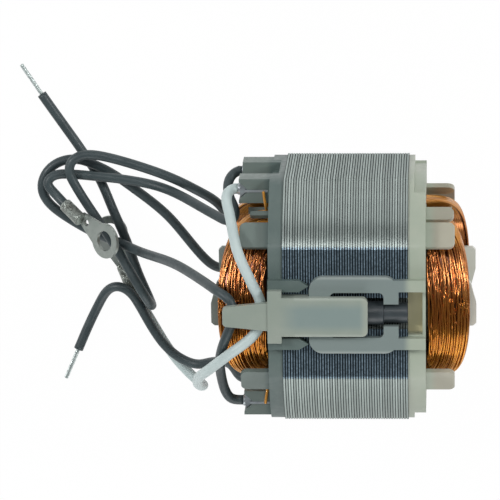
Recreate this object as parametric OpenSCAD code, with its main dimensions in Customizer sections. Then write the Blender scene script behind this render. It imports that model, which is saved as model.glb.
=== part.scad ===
// Wound stator of a two-pole commutator motor, lying on its rear latch loop.
// The motor axis runs along X and Z points up through the front pole.
// The origin is the centre of the bore, halfway along the stack of sheets.
// Lengths are in millimetres.

/* [Sheet stack] */
// Number of steel sheets
sheet_count = 48; // [40:1:54]
// Thickness of one sheet
sheet_t = 0.65; // [0.6:0.01:0.7]
// Distance across the flats
across_flats = 62; // [61:0.5:65]
// Diameter over the round corners
corner_d = 70; // [69:0.5:74]
// Bore diameter
bore_d = 36; // [34:0.5:37]
// Thickness of the pole shoe behind the bore
shoe_t = 2.5; // [2:0.1:3]
// Depth of the winding slot behind the shoe
slot_depth = 4.7; // [4.4:0.1:5.2]
// Width of the pole neck
neck_w = 18; // [15:0.5:19]
// Half of the angle that one pole shoe covers
pole_half = 69; // [66:1:71]
// Radius of the screw channel in the pole backs
channel_r = 4; // [3.5:0.1:4.5]
// Width of the joint line between two sheets
joint_w = 0.2; // [0.1:0.02:0.26]
// Depth of the joint line between two sheets
joint_depth = 0.2; // [0.1:0.05:0.3]

/* [End insulators] */
// Thickness of the lead end insulator
lead_ring_t = 3.5; // [3:0.1:4.2]
// Thickness of the plain end insulator
plain_ring_t = 4.4; // [3.5:0.1:4.7]
// Thickness of the thin outer flange
flange_t = 1.5; // [1:0.1:2]
// Distance from the sheet edge to the flange edge
flange_inset = 0.4; // [0.2:0.1:0.8]
// Distance from the sheet edge to the edge of the thick body
body_inset = 2.6; // [1.5:0.1:3]
// Gap between the bore and the insulator's inner wall
bore_gap = 0.3; // [0.2:0.1:0.6]
// Thickness of the wall inside the end turns
inner_wall_t = 2; // [1.5:0.1:2.2]
// Length of the inner wall beyond the ring
inner_wall_l = 6.5; // [5:0.5:8]
// Length of the inner horn beyond the lead end ring
lead_horn_l = 14.8; // [13.5:0.1:15.5]
// Length of the inner horn beyond the plain end ring
plain_horn_l = 12.6; // [11.5:0.1:14]
// Width of the inner horn
horn_w = 11.8; // [9:0.2:13]
// Length of the outer tab beyond the ring
tab_l = 7.2; // [6:0.1:9]
// Width of the outer tab
tab_w = 6.8; // [5:0.1:8]
// Thickness of the outer tab
tab_t = 1.2; // [1:0.1:1.6]
// Angle of the tab's middle from the pole's middle
tab_angle = 36.5; // [34:0.5:38]
// Half of the angle over which the lead end ring is as wide as its flange
lead_wide_half = 74; // [70:1:80]
// Half of the angle over which the plain end ring is as wide as its flange
plain_wide_half = 55; // [52:1:60]
// Length of the divider that lies outside the end turns beyond the plain end ring
plain_divider_l = 7; // [5:0.1:7.6]
// Width of that divider
plain_divider_w = 4.2; // [3:0.1:4.6]
// Length of the narrow divider beyond the lead end ring
lead_divider_l = 5; // [4:0.1:6]
// Width of that divider
lead_divider_w = 1.5; // [1.2:0.1:2]
// Thickness of the dividers
divider_t = 1.2; // [0.8:0.1:1.4]

/* [Latch] */
// Thickness of the latch loop on the flat
loop_t = 2.1; // [1.6:0.1:2.6]
// Outer length of the latch loop along the axis
loop_l = 22.2; // [20:0.2:23]
// Outer width of the latch loop
loop_w = 19.4; // [19:0.2:21]
// Width of the loop's side bars
loop_side = 4; // [3.4:0.1:4.4]
// Width of the loop's bar at the lead end
loop_bar = 5.2; // [4.4:0.1:5.6]
// Width of the loop's bar at the plain end
loop_hook = 3.7; // [3:0.1:4.2]
// Opening between the two hooks of that bar
hook_gap = 5.6; // [5.4:0.1:6.2]
// Outer corner radius of the loop
loop_corner = 3.5; // [2.5:0.1:4]
// Distance from the loop to the plain end of the stack
loop_back = 2.3; // [1.5:0.1:3]
// Width of a latch arm
arm_w = 2.9; // [2.4:0.1:3.2]
// Distance from the middle to a latch arm
arm_off = 5.9; // [5.8:0.1:6.4]

/* [Terminals] */
// Length of the longer terminal pockets beyond the ring, at the side of the ring terminals
pocket_long = 7.8; // [7.2:0.1:8.4]
// Length of the shorter terminal pockets beyond the ring
pocket_short = 7; // [6.4:0.1:7.4]
// Distance from the middle to a pocket
pocket_off = 6.9; // [6.5:0.1:7.2]
// Depth of a pocket across the motor
pocket_d = 7.1; // [6.5:0.1:7.5]
// Width of the slit that takes the terminal blade
slit_t = 0.7; // [0.6:0.05:0.9]
// Thickness of the terminal blade
blade_t = 0.6; // [0.5:0.05:0.6]
// Radius of the terminal's crimp barrel
crimp_r = 1.5; // [1.3:0.05:1.6]

/* [Windings] */
// Thickness of the slot liner
liner_t = 0.3; // [0.2:0.05:0.4]
// Gap between the coil and the liner
coil_gap = 0.25; // [0.15:0.05:0.4]
// Length of the end turns beyond the lead end ring
lead_turn_l = 12.7; // [11.5:0.1:13]
// Length of the end turns beyond the plain end ring
plain_turn_l = 10.9; // [10:0.1:11.6]
// How far the end turns swell outward over the pole
end_swell = 3.4; // [2.5:0.1:3.7]
// Thickness of the magnet wire
magnet_wire_d = 0.7; // [0.6:0.05:0.8]

/* [Lead holder] */
// Width of the holder's plate
plate_w = 9.8; // [9:0.1:10]
// Reach of the plate beyond the middle of the stack
plate_reach = 5.7; // [4:0.1:6.5]
// Thickness of the plate above the latch loop
plate_t = 2.3; // [1.8:0.1:2.8]
// Width of the flange on the insulator
holder_flange_w = 13.3; // [12.6:0.1:13.8]
// Length of the tongue over the end turns
tongue_l = 11.2; // [9:0.1:12]
// Width of the tongue at its root
tongue_root_w = 7.1; // [6:0.1:7.5]
// Width of the tongue at its tip
tongue_tip_w = 5; // [4.5:0.1:5.8]
// Diameter of the black sleeve
sleeve_d = 5.9; // [5.4:0.1:6.1]
// Diameter of the sleeve's neck
sleeve_neck_d = 5; // [4.4:0.1:5.2]

/* [Leads] */
// Diameter of a dark lead
lead_d = 2.3; // [2:0.1:2.5]
// Diameter of the white lead
white_lead_d = 2.5; // [2.2:0.1:2.6]
// Diameter of a bare lead end
bare_d = 1.1; // [0.9:0.1:1.3]
// Hole diameter of a ring terminal
eye_d = 5.3; // [4.8:0.1:5.6]
// Outer diameter of a ring terminal
eye_out_d = 9.2; // [8.6:0.1:10]
// Sheet thickness of a ring terminal
eye_t = 0.9; // [0.7:0.1:1]

/* [Hidden] */
$fn = 64;
eps = 0.01;

half_l = sheet_count * sheet_t / 2;
flat_r = across_flats / 2;
corner_r = corner_d / 2;
bore_r = bore_d / 2;
shoe_r = bore_r + shoe_t;
slot_r = shoe_r + slot_depth;

// Gap left between two pieces that sit on each other
seat_gap = 0.05;
// How far a limb reaches into the piece it grows from
root = 1;

// Inner wall of the insulators and the coil that lies around it
inner_wall_r = bore_r + bore_gap;
coil_in_r = shoe_r + liner_t + coil_gap;
coil_slot_r = slot_r - liner_t - coil_gap;
coil_end_r = coil_slot_r + end_swell;
tab_gap = 2.4;
tab_in_r = coil_end_r + tab_gap;
tab_sector = 20;
tab_corner = 1.6;
wall_half = pole_half - 3;
divider_gap = 1.7;
divider_in_r = coil_slot_r + divider_gap;
divider_angle = 54;
divider_round = 0.45;

// Terminal pockets, given as distances from the middle planes
pocket_lap = 0.3;
pocket_inset = 0.5;
pocket_in = coil_slot_r - pocket_lap;
pocket_out = flat_r - pocket_inset;
pocket_wall = 1;
blade_back = pocket_off + pocket_wall + seat_gap;
blade_front = pocket_off + pocket_d;
crimp_mid = (blade_back + blade_front) / 2;
slit_mid = (pocket_in + pocket_out) / 2;
lead_in_l = 2.2;
lead_in_w = 4.6;
crimp_out = 0.3;

// Latch loop and lead holder over the front flat
loop_z0 = flat_r + seat_gap;
loop_z1 = flat_r + loop_t;
loop_x1 = half_l - loop_back;
loop_x0 = loop_x1 - loop_l;
window_corner = 1.2;
arm_mid = arm_off + arm_w / 2;
plate_z0 = loop_z1 + seat_gap;
plate_z1 = loop_z1 + plate_t;
tongue_t = plate_t - 0.4;
sleeve_z = flat_r - channel_r + sleeve_d / 2;
body_r = flat_r - body_inset;

// Turns the section plane so that a section's x, y and height run along Y, Z and X
module along_axis() rotate([90, 0, 90]) children();

module at_plain_end() translate([half_l, 0, 0]) along_axis() children();

module at_lead_end() mirror([1, 0, 0]) at_plain_end() children();

module both_poles() {
  children();
  rotate([0, 0, 180]) children();
}

// Outline of a sheet: a circle cut by four flats
module sheet_outline(inset) {
  intersection() {
    circle(corner_r - inset);
    square(2 * (flat_r - inset), center = true);
  }
}

module ring_2d(inner, outer) {
  difference() {
    circle(outer);
    circle(inner);
  }
}

// Sector around the pole's middle line
module wedge_2d(half_angle) {
  far = 2 * corner_r;
  polygon([[0, 0], for (k = [-3:3]) far * [sin(k * half_angle / 3), cos(k * half_angle / 3)]]);
}

// Pole shoe and neck, grown by a wall on the faces that the coil sees
module pole_2d(inner, wall) {
  intersection() {
    ring_2d(inner, shoe_r + wall);
    wedge_2d(pole_half);
  }
  difference() {
    translate([-neck_w / 2 - wall, 0]) square([neck_w + 2 * wall, slot_r + 1]);
    circle(inner);
  }
}

module stator_section(inset, inner, wall) {
  difference() {
    sheet_outline(inset);
    circle(slot_r - wall);
  }
  both_poles() pole_2d(inner, wall);
}

// Rectangle with one end rounded at both corners
module tip_2d(width, length, corner) {
  translate([-width / 2, 0]) square([width, length - corner]);
  translate([corner - width / 2, 0]) square([width - 2 * corner, length]);
  for (side = [-1, 1]) {
    translate([side * (width / 2 - corner), length - corner]) circle(corner);
  }
}

module round_rect_2d(width, length, corner) {
  translate([corner - width / 2, 0]) square([width - 2 * corner, length]);
  translate([-width / 2, corner]) square([width, length - 2 * corner]);
  for (side = [-1, 1], at = [corner, length - corner]) {
    translate([side * (width / 2 - corner), at]) circle(corner);
  }
}

// Carries a shape drawn across the motor and along its axis outward through a range of radii
module raised(from, to) translate([0, to, 0]) rotate([90, 0, 0]) linear_extrude(to - from) children();

// Stack of sheets, with a fine joint line around its outside between two sheets
module lamination_stack() {
  color("slategray") along_axis() difference() {
    linear_extrude(2 * half_l, center = true) stator_section(0, bore_r, 0);
    for (i = [1:sheet_count - 1]) {
      translate([0, 0, i * sheet_t - half_l]) linear_extrude(joint_w, center = true) difference() {
        square(2 * corner_d, center = true);
        sheet_outline(joint_depth);
      }
    }
    both_poles() translate([0, flat_r, 0]) cylinder(r = channel_r, h = 3 * half_l, center = true);
  }
}

// Ring that covers the end of the stack, with its inner wall, horn and outer tabs
module insulator_body(ring_t, horn_l, wide_half, divider_l, divider_w) {
  wall_end = ring_t + inner_wall_l;
  linear_extrude(flange_t) difference() {
    sheet_outline(flange_inset);
    sheet_outline(body_inset + root);
  }
  linear_extrude(ring_t) stator_section(body_inset, inner_wall_r, liner_t);
  linear_extrude(ring_t) both_poles() intersection() {
    difference() {
      sheet_outline(flange_inset);
      circle(slot_r);
    }
    wedge_2d(wide_half);
  }
  both_poles() {
    translate([0, 0, ring_t]) linear_extrude(inner_wall_l) {
      arc_wall_2d(inner_wall_r, inner_wall_t, wall_half);
    }
    intersection() {
      translate([0, 0, wall_end]) linear_extrude(horn_l - inner_wall_l) {
        arc_wall_2d(inner_wall_r, inner_wall_t, wall_half / 2);
      }
      raised(0, corner_r) horn_2d(ring_t + horn_l);
    }
    for (side = [-1, 1]) {
      rotate([0, 0, side * tab_angle]) intersection() {
        translate([0, 0, ring_t - root]) linear_extrude(tab_l + root) {
          arc_wall_2d(tab_in_r, tab_t, tab_sector);
        }
        raised(0, corner_r) tip_2d(tab_w, ring_t + tab_l, tab_corner);
      }
      rotate([0, 0, side * divider_angle]) intersection() {
        translate([0, 0, ring_t - root]) linear_extrude(divider_l + root) {
          arc_wall_2d(divider_in_r, divider_t, tab_sector);
        }
        raised(0, corner_r) tip_2d(divider_w, ring_t + divider_l, divider_round * divider_w);
      }
    }
  }
}

// Wall along an arc around the axis, to both sides of the pole's middle line
module arc_wall_2d(inner, thickness, half_angle) {
  intersection() {
    ring_2d(inner, inner + thickness);
    wedge_2d(half_angle);
  }
}

// Horn with one long and one sloping corner
module horn_2d(length) {
  side = horn_w / 2;
  nick = 0.8;
  slope = 1.4;
  polygon([
    [-side, 0], [-side, length - nick], [nick - side, length], [0, length],
    [side - nick, length - slope], [side, length - slope - nick], [side, 0]
  ]);
}

// Posts that carry the latch arms on the ring
module latch_posts(ring_t) {
  for (side = [-1, 1]) {
    raised(body_r - root, loop_z1) {
      translate([side * arm_mid - arm_w / 2, 0]) square([arm_w, ring_t]);
    }
  }
}

// One terminal pocket with its blade slit and flared entry
module pocket(ring_t, reach) {
  end = ring_t + reach;
  difference() {
    translate([pocket_in, pocket_off, flange_t]) {
      cube([pocket_out - pocket_in, pocket_d, end - flange_t]);
    }
    raised(pocket_off + pocket_wall, blade_front + 1) pocket_slit_2d(ring_t, end);
  }
}

module pocket_slit_2d(ring_t, end) {
  translate([slit_mid - slit_t / 2, ring_t + pocket_wall / 2]) square([slit_t, end]);
  polygon([
    [slit_mid - slit_t / 2, end - lead_in_l], [slit_mid - lead_in_w / 2, end + eps],
    [slit_mid + lead_in_w / 2, end + eps], [slit_mid + slit_t / 2, end - lead_in_l]
  ]);
}

module lead_end_insulator() {
  finger_gap = 0.1;
  finger_l = half_l + loop_x0 - finger_gap;
  color("#667774") at_lead_end() difference() {
    union() {
      insulator_body(lead_ring_t, lead_horn_l, lead_wide_half, lead_divider_l, lead_divider_w);
      for (back = [0, 1]) mirror([0, back, 0]) {
        pocket(lead_ring_t, pocket_long);
        mirror([1, 0, 0]) pocket(lead_ring_t, pocket_short);
      }
      both_poles() {
        latch_posts(lead_ring_t);
        for (side = [-1, 1]) {
          raised(loop_z0, loop_z1) translate([side * arm_mid, 0]) finger_2d(finger_l);
        }
      }
    }
    both_poles() {
      translate([0, flat_r, -1]) cylinder(r = channel_r, h = lead_ring_t + 2);
      raised(body_r, corner_r) translate([-arm_off, flange_t]) square([2 * arm_off, lead_ring_t]);
    }
  }
}

// Barbed finger that reaches over the flat to the loop's corner
module finger_2d(length) {
  barb_l = 2.4;
  polygon([
    [-arm_w / 2, root], [-arm_w / 2, barb_l - length], [0, -length],
    [arm_w / 2, barb_l - length], [arm_w / 2, root]
  ]);
}

module plain_end_insulator() {
  recess_w = 2 * arm_off - 0.8;
  recess_end = 0.8;
  recess_l = plain_ring_t - recess_end;
  color("#a3a296") at_plain_end() difference() {
    union() {
      insulator_body(plain_ring_t, plain_horn_l, plain_wide_half, plain_divider_l, plain_divider_w);
      both_poles() {
        latch_posts(plain_ring_t);
        raised(loop_z0, loop_z1) latch_loop_2d();
      }
    }
    both_poles() raised(body_r - root, corner_r) {
      translate([-recess_w / 2, -1]) square([recess_w, recess_l + 1]);
    }
  }
}

// Latch loop lying on the flat, its bar at the plain end parted into two hooks
module latch_loop_2d() {
  difference() {
    translate([0, -loop_back - loop_l]) round_rect_2d(loop_w, loop_l, loop_corner);
    translate([0, loop_bar - loop_back - loop_l]) {
      round_rect_2d(loop_w - 2 * loop_side, loop_l - loop_bar - loop_hook, window_corner);
    }
    translate([-hook_gap / 2, -loop_back - loop_hook - eps - 1]) square([hook_gap, loop_hook + 2]);
  }
  for (side = [-1, 1]) {
    translate([side * arm_mid - arm_w / 2, -loop_back - loop_hook / 2]) {
      square([arm_w, loop_back + loop_hook / 2 + root]);
    }
  }
}

// Slot liner: a thin folded sheet on the neck, the yoke and the back of the shoe
module slot_liner(side, pole) {
  shape_end = 84;
  color("#c9bd98") along_axis() rotate([0, 0, pole]) mirror([side, 0, 0]) {
    linear_extrude(2 * half_l, center = true) intersection() {
      difference() {
        liner_region_2d(0);
        liner_region_2d(liner_t);
      }
      wedge_2d(shape_end);
    }
  }
}

module liner_region_2d(wall) {
  gap = 0.02;
  intersection() {
    ring_2d(shoe_r + gap + wall, slot_r - gap - wall);
    translate([neck_w / 2 + gap + wall, 0]) square(corner_d);
  }
}

// Terminal blade with a flared neck and a crimp barrel at its outer end
module terminal(ring_t, reach) {
  end = ring_t + reach;
  foot = ring_t + pocket_wall / 2 + seat_gap;
  flare = lead_in_w / 2 - 0.5;
  flare_z0 = end - lead_in_l + 0.1;
  flare_z1 = end - 0.2;
  crimp_in = 0.6;
  raised(blade_back, blade_front) {
    translate([slit_mid - blade_t / 2, foot]) square([blade_t, flare_z0 + blade_t - foot]);
  }
  raised(crimp_mid - crimp_r, crimp_mid + crimp_r) polygon([
    [slit_mid - blade_t / 2, flare_z0], [slit_mid - flare, flare_z1],
    [slit_mid + flare, flare_z1], [slit_mid + blade_t / 2, flare_z0]
  ]);
  translate([slit_mid, crimp_mid, end - crimp_in]) cylinder(r = crimp_r, h = crimp_in + crimp_out);
}

module terminal_at(number) {
  color("#aeb6b8") at_lead_end() mirror([0, number > 2 ? 1 : 0, 0]) {
    if (number % 2 == 1) terminal(lead_ring_t, pocket_long);
    else mirror([1, 0, 0]) terminal(lead_ring_t, pocket_short);
  }
}

function unit(v) = v / norm(v);

function tangent(path, i) = unit(path[min(i + 1, len(path) - 1)] - path[max(i - 1, 0)]);

// Carries a side direction along the path without twist
function side_dirs(path, dir, i = 0) =
  i == len(path) ? [] :
  let (t = tangent(path, i), n = unit(dir - (dir * t) * t))
  concat([n], side_dirs(path, n, i + 1));

// Faces of a grid of rings, each ring having the same number of points
function grid_faces(rings, sides, closed) = [
  for (i = [0:rings - (closed ? 1 : 2)], k = [0:sides - 1])
    let (j = (i + 1) % rings, m = (k + 1) % sides)
    each [
      [i * sides + k, j * sides + k, i * sides + m],
      [i * sides + m, j * sides + k, j * sides + m]
    ]
];

// Round tube swept along a path's own points
module tube(path, d, sides = 8) {
  dirs = side_dirs(path, [0.1, 0.2, 1]);
  points = [
    for (i = [0:len(path) - 1], k = [0:sides - 1])
      let (t = tangent(path, i), n = dirs[i], a = 360 * k / sides)
      path[i] + d / 2 * (cos(a) * n + sin(a) * cross(t, n))
  ];
  last = (len(path) - 1) * sides;
  faces = concat(
    grid_faces(len(path), sides, false),
    [[for (k = [0:sides - 1]) k], [for (k = [sides - 1:-1:0]) last + k]]
  );
  polyhedron(points, faces);
}

// End of a coil's wire, running from the coil over the pocket's front to the blade
module magnet_wire_end(number) {
  front = blade_front + magnet_wire_d / 2;
  reach = lead_ring_t + 1;
  foot_q = 0.8;
  foot_r = mix([coil_in_r, coil_slot_r], foot_q);
  foot_a = mix(face_slot, foot_q);
  foot_gap = magnet_wire_d / 2 + 0.1;
  path = [
    [slit_mid, front + 0.02, reach + 0.6],
    [slit_mid - 1.6, front + 0.3, reach + 0.4],
    [pocket_in - 0.3, front + 0.2, reach + 0.1],
    [foot_r * sin(foot_a) + foot_gap, foot_r * cos(foot_a), reach - 0.2]
  ];
  color("#b87a35") at_lead_end() mirror([0, number > 2 ? 1 : 0, 0]) {
    mirror([number % 2 == 0 ? 1 : 0, 0, 0]) tube(path, magnet_wire_d);
  }
}

// Stations along a quarter of a coil's loop: across the end turn, then round into the slot
end_steps = 4;
turn_steps = 6;
quarter = [
  for (j = [0:end_steps]) [j / end_steps, 0],
  for (j = [1:turn_steps]) [1, 90 * j / turn_steps]
];
quarter_back = [for (j = [len(quarter) - 1:-1:1]) quarter[j]];
quarter_on = [for (j = [1:len(quarter) - 1]) quarter[j]];
loop_stations = concat(
  [for (q = quarter) [q, 1, 1]],
  [for (q = quarter_back) [q, 1, -1]],
  [[quarter[0], 1, -1]],
  [for (q = quarter_on) [q, -1, -1]],
  [for (q = quarter_back) [q, -1, 1]]
);

// Coil boundaries: the innermost turn lies at the neck, the outermost on a slanting face near the shoe's tip
coil_end_gap = 0.2;
neck_slot = asin((neck_w / 2 + liner_t + coil_gap) / coil_in_r) + 0.5;
face_slot = [pole_half + 9, pole_half - 13];
turn_end = [neck_slot - 9, 4];
swell_from = 60;
swell_to = 34;
swell_drop = 0.45;
end_lift = 0.5;

function mix(range, s) = range[0] + (range[1] - range[0]) * s;

function smooth(s) = let (c = min(max(s, 0), 1)) c * c * (3 - 2 * c);

// Point of the coil at a station, s from the inner to the outer turn, q from inside to outside
function coil_point(station, s, q) =
  let (
    part = station[0],
    slot = mix([neck_slot, mix(face_slot, q)], s),
    angle = mix(turn_end, s) * part[0] + (slot - mix(turn_end, s)) * sin(part[1]),
    ring_end = half_l + (station[2] > 0 ? plain_ring_t : lead_ring_t),
    turn_l = mix([2 * coil_end_gap, station[2] > 0 ? plain_turn_l : lead_turn_l], s),
    x = ring_end + mix([coil_end_gap, turn_l], cos(part[1])),
    over_pole = smooth((swell_from - angle) / (swell_from - swell_to)),
    past_ring = smooth(cos(part[1]) / cos(90 - 90 / turn_steps)),
    swell = end_swell * over_pole * past_ring * (1 - swell_drop * pow(max(s, 0), 6)),
    inner = coil_in_r + end_lift * cos(part[1]),
    r = mix([inner, coil_slot_r + swell], q)
  )
  [station[2] * x, r * sin(station[1] * angle), r * cos(angle)];

// Section of a coil: the wires on its outer faces stand as ridges
ridge = 0.06;
top_wires = 9;
end_wires = 6;
coil_section = concat(
  [for (k = [0:3]) [k / 4, 0]],
  [for (k = [0:2 * end_wires - 1]) [1 - (k % 2 == 0 ? ridge / 2 : 0), k / (2 * end_wires)]],
  [for (k = [0:2 * top_wires - 1]) [1 - k / (2 * top_wires), 1 - (k % 2 == 0 ? ridge : 0)]],
  [for (k = [0:2]) [0, 1 - k / 3]]
);

module coil() {
  rings = len(loop_stations);
  sides = len(coil_section);
  points = [for (st = loop_stations, c = coil_section) coil_point(st, c[0], c[1])];
  polyhedron(points, grid_faces(rings, sides, true));
}

module front_coil() color("#a96d32") coil();

module rear_coil() color("#a96d32") rotate([180, 0, 0]) coil();

// Clear holder that clips over the latch loop and keeps the leads on the end turns
module lead_holder() {
  ring_x = -half_l - lead_ring_t;
  flange_z0 = flat_r - flange_inset + seat_gap;
  side_gap = 0.1;
  between = 2 * (arm_off - side_gap);
  pad_l = half_l + loop_x0 - 2 * side_gap;
  bore = sleeve_d + 0.3;
  color("#c8d2ca") difference() {
    union() {
      translate([-half_l, 0, plate_z0]) linear_extrude(plate_z1 - plate_z0) holder_plate_2d();
      translate([-half_l, -plate_w / 2, loop_z0]) cube([pad_l, plate_w, plate_z1 - loop_z0]);
      translate([ring_x, -between / 2, body_r + seat_gap]) {
        cube([lead_ring_t - flange_t - seat_gap, between, plate_z1 - body_r - seat_gap]);
      }
      translate([ring_x, -between / 2, flange_z0]) {
        cube([lead_ring_t, between, plate_z1 - flange_z0]);
      }
      translate([ring_x, -holder_flange_w / 2, plate_z0]) {
        cube([lead_ring_t, holder_flange_w, plate_z1 - plate_z0]);
      }
      translate([ring_x + eps, 0, plate_z0]) linear_extrude(tongue_t) tongue_2d();
    }
    translate([0, 0, sleeve_z]) rotate([0, 90, 0]) cylinder(d = bore, h = 4 * half_l, center = true);
  }
}

module holder_plate_2d() {
  plate_corner = 1.4;
  rotate([0, 0, -90]) tip_2d(plate_w, half_l + plate_reach, plate_corner);
}

module tongue_2d() {
  tip = tongue_tip_w / 2;
  nick = 0.8;
  polygon([
    [0, -tongue_root_w / 2], [0, tongue_root_w / 2],
    [nick - tongue_l, tip], [nick / 3 - tongue_l, tip - nick / 3], [-tongue_l, tip - nick],
    [-tongue_l, nick - tip], [nick / 3 - tongue_l, nick / 3 - tip], [nick - tongue_l, -tip]
  ]);
}

// Black sleeve in the front screw channel, its neck between the latch hooks
module black_sleeve() {
  rest_gap = 0.03;
  neck_x = loop_x1 - loop_hook;
  bar_gap = 0.1;
  body_l = neck_x - loop_x0 - loop_bar - bar_gap;
  color("#36404a") translate([neck_x, 0, sleeve_z + rest_gap]) rotate([0, 90, 0]) {
    translate([0, 0, -body_l]) cylinder(d = sleeve_d, h = body_l);
    cylinder(d = sleeve_neck_d, h = half_l - neck_x);
  }
}

// Outer end of a terminal's crimp
function crimp_end(reach, side, level) = [
  -half_l - lead_ring_t - reach - crimp_out, side * slit_mid, level * crimp_mid
];

// Lets the lower points of a route follow the height that the part stands at
drawn_stand = 33.1;
function lie(points) = [
  for (p = points) p - [0, 0, (loop_z1 - drawn_stand) * smooth((-12 - p[2]) / 14)]
];

// Direction of a ring terminal that is turned by spin in its own plane and then tilted
function eye_dir(tilt, spin) = [cos(tilt) * cos(spin), sin(spin), -sin(tilt) * cos(spin)];

// A lead leaves its crimp straight, and enters a ring terminal straight
exit_l = 1.5;
entry_l = 2;
function from_crimp(start) = [start, start - [exit_l, 0, 0]];
function into_eye(end, dir) = [end - entry_l * dir, end];

white_eye_tilt = 0;
white_eye_spin = 111;
dark_eye_tilt = -42;
dark_eye_spin = -30;

// Routes of the leads, from the terminal's crimp to the far end
white_route = concat(from_crimp(crimp_end(pocket_long, 1, 1)), lie(concat([
  [-29.9, 26.6, 12.6], [-29.9, 25, 15.6], [-29.1, 23.1, 19.2], [-28.3, 20.8, 23.4], [-27.4, 18, 28],
  [-26.5, 15.6, 31],
  [-25.2, 12.8, 32.6], [-23.7, 9.6, 32.8], [-22.4, 6.6, 32.3], [-21.2, 4.2, 31.8], [-20.7, 1, 31.6],
  [-20.8, -1.8, 31.6], [-21.7, -4.1, 31.7], [-23.9, -6.6, 31.7], [-28.7, -10.4, 30.8],
  [-34.4, -16.1, 24.6], [-37.5, -21, 12.6], [-38.7, -25.9, 0], [-38.5, -29.6, -11.5],
  [-38.7, -32.2, -22.5], [-40.3, -33, -29.2], [-44.1, -30.1, -31.8], [-48.4, -24.5, -31.8],
  [-52.5, -17.5, -31.8], [-55.7, -11.8, -31.6]
], into_eye([-58.1, -6.9, -31.3], eye_dir(white_eye_tilt, white_eye_spin)))));
dark_route = concat(from_crimp(crimp_end(pocket_long, 1, -1)), lie(concat([
  [-30.7, 25.3, -9], [-30.5, 21.9, -6.5], [-29, 19.4, -4], [-28.7, 17.2, -3], [-30.6, 15.7, -4.5],
  [-34, 16.3, -8.5], [-38.3, 17.4, -14], [-43.6, 18.7, -21], [-48.3, 19.9, -25], [-52.9, 20.8, -26.9],
  [-59.9, 21.9, -27.4], [-66.2, 22.6, -27.4], [-72.6, 23.2, -27.2], [-77, 23.1, -26.9],
  [-79.2, 21.1, -26.6], [-77, 18.3, -26.3]
], into_eye([-73.2, 14.9, -23.8], eye_dir(dark_eye_tilt, dark_eye_spin)))));
long_route = concat(from_crimp(crimp_end(pocket_short, -1, 1)), lie([
  [-29.5, -27.2, 11.4], [-30.9, -24.6, 13], [-31.6, -20.7, 16], [-31.8, -16.8, 19.8], [-31.5, -12.9, 24.6],
  [-30.4, -8.4, 28.9], [-28.8, -4.3, 30.2], [-27.9, -1.3, 30.7], [-27.8, 1.2, 30.7], [-28.8, 3.5, 30.4],
  [-31.6, 5, 28.7], [-35.4, 5.8, 21.6], [-43.6, 6.2, 4], [-55.4, 3.6, -23.5], [-60.4, 4.6, -28.4],
  [-68.8, 8.1, -29], [-79, 15.2, -29.4], [-80.7, 19.1, -29.4], [-79.5, 23.1, -29.4],
  [-76.3, 25.9, -29.4], [-71.5, 26.8, -29.4], [-64, 23.9, -29.8], [-56.4, 18.4, -31], [-48.2, 11.4, -31.9],
  [-35.8, -2.5, -31.9], [-32.1, -2.7, -31.9], [-30.2, 1.3, -31.9], [-33.4, 14.4, -26.8], [-40.5, 19.9, -24.5],
  [-51.7, 24.9, -24.4], [-68.3, 28.9, -25], [-72, 27.6, -24.8], [-73.1, 24.7, -24.7], [-71.2, 20.3, -24.8],
  [-61.7, 4.7, -25.7], [-53.7, -8.6, -23.6], [-52.1, -12.2, -27.4], [-53, -11.1, -30.8],
  [-56, -4.3, -31.9], [-58.7, 4.3, -30.7], [-62, 12.4, -30.8], [-66.4, 22.4, -31.9], [-80.4, 43.6, -31.9]
]));
short_route = concat(from_crimp(crimp_end(pocket_short, -1, -1)), lie([
  [-29.2, -26.6, -13.2], [-30.9, -25.4, -17], [-33.3, -25.5, -21], [-36.7, -26.8, -25.4], [-40.8, -28.2, -28.4],
  [-45.1, -26.7, -29.3], [-49.1, -23.2, -29.3], [-52.4, -18.3, -29.3], [-55.2, -13.1, -29.2],
  [-57.5, -9.1, -28.4], [-59.8, -7.3, -28.2], [-62.2, -7.2, -28.8], [-64.4, -9, -30],
  [-66.7, -13.1, -31.3], [-69.5, -18.9, -31.9], [-72.1, -24.9, -31.9]
]));
long_tip_l = 9.4;
short_tip_l = 8.6;

function end_of(route) = route[len(route) - 1];

module dark_lead(route) color("#3e4a4c") tube(route, lead_d);

module bare_tip(route, length) {
  along = tangent(route, len(route) - 1);
  color("#b4bab6") tube([end_of(route), end_of(route) + length * along], bare_d);
}

// Crimped ring terminal; its barrel starts at the origin and its eye lies along X
module ring_terminal(lead) {
  barrel_r = 1.75;
  barrel_l = 5;
  mouth_l = 1.4;
  mouth_gap = 0.2;
  eye_x = 14.2;
  neck_w0 = 2.8;
  neck_w1 = 6.6;
  neck_x0 = barrel_l - 1;
  neck_x1 = eye_x - 3;
  sight_x = barrel_l + 1.5;
  sight_r = 0.9;
  translate([0, 0, -barrel_r]) linear_extrude(eye_t) difference() {
    union() {
      translate([eye_x, 0]) circle(d = eye_out_d);
      polygon([
        [neck_x0, -neck_w0 / 2], [neck_x1, -neck_w1 / 2],
        [neck_x1, neck_w1 / 2], [neck_x0, neck_w0 / 2]
      ]);
    }
    translate([eye_x, 0]) circle(d = eye_d);
    translate([sight_x, 0]) circle(sight_r);
  }
  rotate([0, 90, 0]) {
    cylinder(r = barrel_r, h = barrel_l);
    translate([0, 0, -mouth_l]) difference() {
      cylinder(r = barrel_r, h = mouth_l);
      translate([0, 0, -1]) cylinder(d = lead + mouth_gap, h = mouth_l + 1);
    }
  }
}

module lead_eye(route, tilt, spin, lead) {
  color("#9aa39b") translate(end_of(route)) rotate([0, tilt, 0]) rotate([0, 0, spin]) {
    ring_terminal(lead);
  }
}

module white_brush_lead() color("#becdcb") tube(white_route, white_lead_d);

module white_lead_eye() lead_eye(white_route, white_eye_tilt, white_eye_spin, white_lead_d);

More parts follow.
